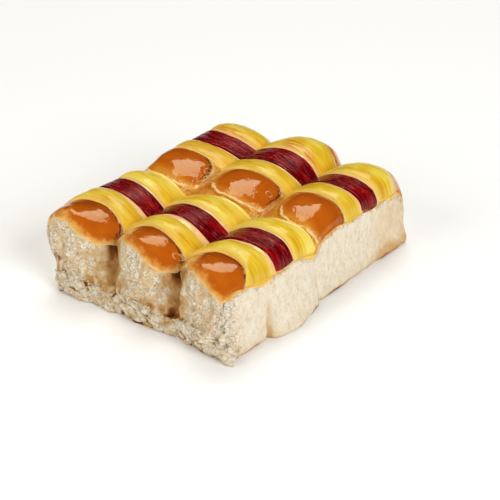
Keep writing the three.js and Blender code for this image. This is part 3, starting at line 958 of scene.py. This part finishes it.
def make_bread():
    mesh = grid_block("bread_crumb_and_crust", BREAD_COLUMNS, BREAD_ROWS, BREAD_LEVELS)
    merge_underside(mesh)
    i, j, k = np.round(read_points(mesh)).T
    straight_y = mix(FRONT_Y, -FRONT_Y, j / BREAD_ROWS)
    row = np.interp(straight_y, STRIPE_YS, STRIPE_ROWS)
    column = i * COLUMNS / BREAD_COLUMNS
    straight_x = column_x(column)
    share = k / BREAD_LEVELS
    points = place(column, row, share)
    skin = dough_height(straight_x, row)
    plain = points.copy()
    points[:, 2] += swelling(straight_x, straight_y, share)
    points[:, 2] = np.maximum(points[:, 2] - BASE_SKIRT * (1 - share), 0)
    write_points(mesh, points)
    normals = read_normals(mesh)
    tear = torn_edge(plain, skin)
    torn = smooth(-tear / 1.2)
    off_base = smooth(plain[:, 2] / 2)
    points = points + normals * (crumb_relief(plain) * torn * off_base)[:, None]
    points[:, 2] = np.maximum(points[:, 2], 0)
    to_frame(mesh, points)
    give_attribute(mesh, "tear", tear)
    for name, value_at in TOP_VALUES.items():
        give_attribute(mesh, name, value_at(straight_x, straight_y))
    give_attribute(mesh, "yellow", stripe_tint(straight_x, straight_y, "custard"))
    give_attribute(mesh, "red", stripe_tint(straight_x, straight_y, "jam"))
    give_attribute(mesh, "openness", mix(0.08, 1, smooth((-88 - plain[:, 1]) / 8)))
    give_attribute(mesh, "stain_and_shade", stained_and_shaded(plain))
    give_attribute(mesh, "height", plain[:, 2])
    add_piece(mesh, bread_material(), "bread", "bread")


# Shreds: torn crumb that stands out of the torn sides, thickest along the ledge of the front and along the
# crust's torn edge. first and last are shares of the side's length, low and high are shares of the wall's
# height, and nearest and farthest are distances from the crust's torn edge. width and thickness go by the
# length, and turn is how far one may lie from level.
SHREDS = [
    dict(side="front", count=150, low=0.04, high=0.4, shortest=6, longest=13, width=0.15, thickness=0.13,
         tilt=0.2, turn=0.5),
    dict(side="right", count=90, low=0.02, high=0.9, shortest=3, longest=7, width=0.7, thickness=0.4,
         tilt=0.3, first=0, last=0.06),
    dict(side="front", count=260, low=0.03, high=0.36, shortest=4, longest=9, width=0.6, thickness=0.5,
         tilt=0.15, turn=0.7),
    dict(side="front", count=900, low=0.02, high=0.42, shortest=1.8, longest=4, width=0.6, thickness=0.5,
         tilt=0.3, turn=0.9),
    dict(side="right", count=1300, low=0.7, high=1, shortest=1.5, longest=3.5, width=0.7, thickness=0.4,
         tilt=0.3, nearest=-0.8, farthest=1.2),
    dict(side="left", count=700, low=0.7, high=1, shortest=1.5, longest=3.5, width=0.7, thickness=0.4,
         tilt=0.3, nearest=-0.3, farthest=1.2),
    dict(side="front", count=1200, low=0.7, high=1, shortest=1.5, longest=3.2, width=0.6, thickness=0.4,
         tilt=0.4, nearest=-0.4, farthest=1.4),
]
SHRED_JITTER = 0.2
SHRED_BEND = 1.2
SHRED_LIFT = 0.05
SHRED_CLEAR_OF_SKIN = 0.8
SHRED_LOWEST = 0.1


def on_wall(side, along, share):
    """Points of a torn side, the side's outward directions there, and the skin's heights above them."""
    step = 0.3

    def at(shift_along, shift_up):
        if side == "front":
            column, row = np.clip(along * COLUMNS + shift_along, 0, COLUMNS), np.zeros_like(along)
        else:
            column = np.full_like(along, COLUMNS if side == "right" else 0)
            row = np.clip(along * ROWS + shift_along, 0, ROWS)
        return place(column, row, np.clip(share + shift_up, 0, 1)), dough_height(column_x(column), row)

    points, skins = at(0, 0)
    outs = np.cross(at(step, 0)[0] - at(-step, 0)[0], at(0, 0.01)[0] - at(0, -0.01)[0])
    outs /= np.linalg.norm(outs, axis=1)[:, None] * (-1 if side == "left" else 1)
    return points, outs, skins


def shred_turns(outs, lengths, turns, tilts, width, thickness):
    """The half axes of each shred. Its long way lies near the torn side, tilts outwards, and is level more
    than steep."""
    flats = np.cross((0, 0, 1), outs)
    flats /= np.linalg.norm(flats, axis=1)[:, None]
    rises = np.cross(outs, flats)
    longs = flats * np.cos(turns)[:, None] + rises * 0.6 * np.sin(turns)[:, None] + outs * tilts[:, None]
    longs /= np.linalg.norm(longs, axis=1)[:, None]
    wides = np.cross(outs, longs)
    wides /= np.linalg.norm(wides, axis=1)[:, None]
    half = lengths[:, None] / 2
    axes = np.stack([longs * half, wides * half * width, np.cross(longs, wides) * half * thickness], axis=2)
    return axes, longs * half


def shred_blob():
    b = bmesh.new()
    bmesh.ops.create_icosphere(b, subdivisions=2, radius=1)
    mesh = bpy.data.meshes.new("shred")
    b.to_mesh(mesh)
    b.free()
    corners = [list(face.vertices) for face in mesh.polygons]
    return read_points(mesh), np.array(corners)


def shred_cloud(draw, blob, side, count, low, high, shortest, longest, width, thickness, tilt,
                turn=math.pi, nearest=1, farthest=99, first=0.01, last=0.99):
    along, share = draw.uniform(first, last, count), draw.uniform(low, high, count)
    points, outs, skins = on_wall(side, along, share)
    lengths, turns = draw.uniform(shortest, longest, count), draw.uniform(-turn, turn, count)
    tilts = draw.uniform(0, tilt, count)
    axes, longs = shred_turns(outs, lengths, turns, tilts, width, thickness)
    raised = crumb_relief(points) + lengths * SHRED_LIFT
    middles = points + outs * raised[:, None] + longs * (tilts * 0.3)[:, None]
    shapes = blob + draw.uniform(-SHRED_JITTER, SHRED_JITTER, (count, len(blob), 3))
    shapes[:, :, 1] += draw.uniform(-SHRED_BEND, SHRED_BEND, (count, 1)) * shapes[:, :, 0] ** 2
    cloud = middles[:, None] + np.einsum("nij,nvj->nvi", axes, shapes)
    below = -torn_edge(points, skins)
    clear = points[:, 2] < skins - SHRED_CLEAR_OF_SKIN
    return cloud[(below > nearest) & (below < farthest) & clear]


def make_shreds():
    draw = np.random.default_rng(11)
    blob, corners = shred_blob()
    cloud = np.concatenate([shred_cloud(draw, blob, **shreds) for shreds in SHREDS])
    cloud[:, :, 2] = np.maximum(cloud[:, :, 2], SHRED_LOWEST)
    faces = corners + np.arange(len(cloud))[:, None, None] * len(blob)
    mesh = bpy.data.meshes.new("torn_crumb_shreds")
    mesh.from_pydata(cloud.reshape(-1, 3).tolist(), [], faces.reshape(-1, 3).tolist())
    points = read_points(mesh)
    tones = np.repeat(draw.uniform(-0.15, 0.12, len(cloud)), len(blob))
    give_attribute(mesh, "stain_and_shade", np.clip(stained_and_shaded(points) * 0.3 + tones, 0, 1))
    to_frame(mesh, points)
    add_piece(mesh, shred_material(), "bread")


# Bands: each follows the dough over all three rolls, thin at its rims. Its ends stop a column short of the
# rolls' own, and thin out over part of the last one. Stripes are counted from the front, with the crust of
# the front domes as 0.
BAND_COLUMNS = 252
BAND_ROWS = 24
END_LENGTH = 1.6
END_SKIN = 0.3
RIM_WANDER = 0.4


def front_rim(x, stripe):
    """How far a band's front rim lies behind its stripe's front, following the browned ovals."""
    s = np.abs(across_roll(x))
    if stripe == 1:
        return np.interp(x, (-90, -60, -35, 0, 30, 60, 90), (2, 9, 5, 3.5, 1.5, 5, 2)) + 1.5 - 7 * s**4
    if stripe == 3:
        return np.interp(x, (-60, 10, 30, 55, 80), (1.2, 1.8, 0.5, -2.4, -0.5))
    if stripe == 5:
        return np.full_like(x, 1.3)
    if stripe == 7:
        return np.interp(x, (-60, 0, 60), (-0.5, 0.7, 1.5)) - 1.5 * s**3
    if stripe == 9:
        return np.interp(x, (-60, 0, 30, 60, 80), (-1.8, -1.6, -1.2, -0.8, -1))
    return rear_rim(x, 9) + 0.4


def rear_rim(x, stripe):
    """How far a band's rear rim lies behind its stripe's rear."""
    if stripe == 1:
        return np.interp(x, (-60, -35, 0, 60, 80), (0.5, -1.5, -2.8, -4.2, -2.6))
    if stripe == 3:
        return np.full_like(x, 1)
    if stripe == 5:
        return np.full_like(x, 2)
    if stripe == 7:
        return front_rim(x, 9)
    if stripe == 9:
        return np.interp(x, (-60, -35, -10, 22, 32, 50, 80), (3.2, 2.6, 1.2, 2.6, 1, -0.6, -0.3))
    return np.zeros_like(x)


# Places where the custard is scorched orange: middle X and Y, half width and half length.
SCORCHES = [
    (-52, 48, 26, 3),
    (-58, 74.5, 20, 3.5),
    (-3, 76, 12, 6),
    (10, 73, 16, 3),
    (20, 94, 20, 3),
    (75, 94, 18, 3),
]

# How much duller the custard of some stripes is than that of the others, and the stripe whose rear gets a
# painted highlight.
DULL_CUSTARD = {1: 0.13, 7: 0.22, 11: 0.05}
HIGHLIT_STRIPE = 5


def scorched(x, y):
    best = np.zeros_like(x)
    for middle_x, middle_y, half_width, half_length in SCORCHES:
        away = np.hypot((x - middle_x) / half_width, (y - middle_y) / half_length)
        best = np.maximum(best, smooth(1.4 - away))
    return best


def make_band(name, stripe, kind, material):
    mesh = grid_block(name, BAND_COLUMNS, BAND_ROWS, 1)
    i, j, k = np.round(read_points(mesh)).T
    column = 1 + i * (COLUMNS - 2) / BAND_COLUMNS
    x = column_x(column)
    away = np.sin(math.pi / 2 * (2 * j / BAND_ROWS - 1))
    front = STRIPE_YS[stripe] + front_rim(x, stripe) + RIM_WANDER * layered(x, stripe * 9.0, 0, 6, 2)
    rear = STRIPE_YS[stripe + 1] + rear_rim(x, stripe) + RIM_WANDER * layered(x, stripe * 9.0 + 4, 0, 6, 2)
    y = mix(front, rear, (away + 1) / 2)
    points = place(column, np.interp(y, STRIPE_YS, STRIPE_ROWS), np.ones_like(y))
    from_end = np.minimum(column - 1, COLUMNS - 1 - column) / END_LENGTH
    ends = np.sqrt(np.clip(1 - np.clip(1 - from_end, 0, 1) ** 2, 0, 1))
    if kind == "jam":
        ripple = 0.5 * layered(x * 0.35, y * 1.6, stripe, 4, 3) + 0.3 * layered(x, y, stripe, 12, 1)
    else:
        ripple = 0.3 * layered(x, y * 1.5, stripe, 11, 2)
    skin = (SKINS[kind] + ripple) * np.sqrt(1 - away * away) * mix(END_SKIN, 1, ends)
    points[:, 2] += np.where(k > 0, BAND_LIFT + skin, -SINK)
    to_frame(mesh, points)
    give_attribute(mesh, "rim", np.minimum(y - front, rear - y))
    give_attribute(mesh, "crease", creaseness(x, 3))
    give_attribute(mesh, "scorch", scorched(x, y))
    dull = DULL_CUSTARD.get(stripe, 0) * (1 + 1.3 * smooth((-10 - x) / 40))
    browned = 0.25 * smooth((y - 66) / 4) * smooth((78 - y) / 5)
    give_attribute(mesh, "dull", dull + browned)
    # Painted highlight towards the rear of that band.
    give_attribute(mesh, "painted_highlight", smooth((y + 24) / 8) * (stripe == HIGHLIT_STRIPE))
    uv = mesh.uv_layers.new(name="band")
    corner = np.zeros(len(mesh.loops), int)
    mesh.loops.foreach_get("vertex_index", corner)
    flat = np.stack([x, y], axis=-1)
    uv.data.foreach_set("uv", flat[corner].astype(np.float32).ravel())
    add_piece(mesh, material, kind, name.replace("topping", "band"))


def make_bands():
    materials = {"custard": custard_material(), "jam": jam_material()}
    made = {"custard": 0, "jam": 0}
    for stripe, kind in enumerate(KINDS):
        if kind in materials:
            made[kind] += 1
            make_band(f"{kind}_topping_{made[kind]}", stripe, kind, materials[kind])


# Floor, lights and camera

FLOOR_SIZE = 10
WORLD_STRENGTH = 0.14

# Area lights, which face the bread: the direction each stands in, its distance, sides, power and colour, and
# whether the glaze mirrors it.
LIT_PLACE = Vector((0, 0, 0.03))
LIGHTS = [
    ("softbox", (-0.28, 0.38, 0.9), 2.4, (1.3, 1.35), 32, (1, 0.97, 0.88), True),
    ("key", (0.9, -0.2, 0.55), 2.2, (1.2, 1.2), 37, (1, 0.99, 0.96), False),
    ("fill", (-0.3, -0.85, 0.5), 2.2, (1.2, 1.2), 21.5, (1, 0.95, 0.84), False),
]

CAMERA_AZIMUTH = 40.0
CAMERA_ELEVATION = 29.7
CAMERA_ROLL = -1.48
CAMERA_DISTANCE = 1144
CAMERA_TARGET = (0, -17.8, 30)
CAMERA_OFFSET = (26.5, -9.4)
CAMERA_FOCAL_PIXELS = 1571
PHOTO_PIXELS = 500
SENSOR = 36


def make_floor():
    mesh = bpy.data.meshes.new("floor")
    b = bmesh.new()
    bmesh.ops.create_grid(b, x_segments=1, y_segments=1, size=FLOOR_SIZE)
    b.to_mesh(mesh)
    b.free()
    mesh.materials.append(floor_material())
    floor = bpy.data.objects.new("floor", mesh)
    bpy.context.scene.collection.objects.link(floor)


def add_area_light(name, direction, distance, sides, power, colour, mirrored):
    light = bpy.data.lights.new(name, "AREA")
    light.shape = "RECTANGLE"
    light.size, light.size_y = sides
    light.energy = power
    light.color = colour
    lamp = bpy.data.objects.new(name, light)
    bpy.context.scene.collection.objects.link(lamp)
    towards = Vector(direction).normalized()
    lamp.location = towards * distance + LIT_PLACE
    lamp.rotation_mode = "QUATERNION"
    lamp.rotation_quaternion = towards.to_track_quat("Z", "Y")
    lamp.visible_glossy = mirrored


def make_lights():
    world = bpy.data.worlds.new("studio")
    world.use_nodes = True
    background = world.node_tree.nodes["Background"]
    background.inputs["Color"].default_value = (1, 1, 1, 1)
    background.inputs["Strength"].default_value = WORLD_STRENGTH
    world.cycles_visibility.glossy = False
    bpy.context.scene.world = world
    bpy.context.scene.view_settings.view_transform = "Standard"
    for light in LIGHTS:
        add_area_light(*light)


def make_camera():
    a, e, roll = map(math.radians, (CAMERA_AZIMUTH, CAMERA_ELEVATION, CAMERA_ROLL))
    back = Vector((math.sin(a) * math.cos(e), -math.cos(a) * math.cos(e), math.sin(e)))
    level = Vector((math.cos(a), math.sin(a), 0))
    rise = back.cross(level)
    right = level * math.cos(roll) + rise * math.sin(roll)
    up = rise * math.cos(roll) - level * math.sin(roll)
    centre = Vector(CAMERA_TARGET) + Vector(SHIFT) + back * CAMERA_DISTANCE
    centre += right * CAMERA_OFFSET[0] + up * CAMERA_OFFSET[1]
    data = bpy.data.cameras.new("camera")
    data.sensor_width = SENSOR
    data.lens = CAMERA_FOCAL_PIXELS / PHOTO_PIXELS * SENSOR
    camera = bpy.data.objects.new("camera", data)
    bpy.context.scene.collection.objects.link(camera)
    camera.matrix_world = Matrix.Translation(centre * MM) @ Matrix((right, up, back)).transposed().to_4x4()
    bpy.context.scene.camera = camera


make_bread()
make_shreds()
make_bands()
make_floor()
make_lights()
make_camera()
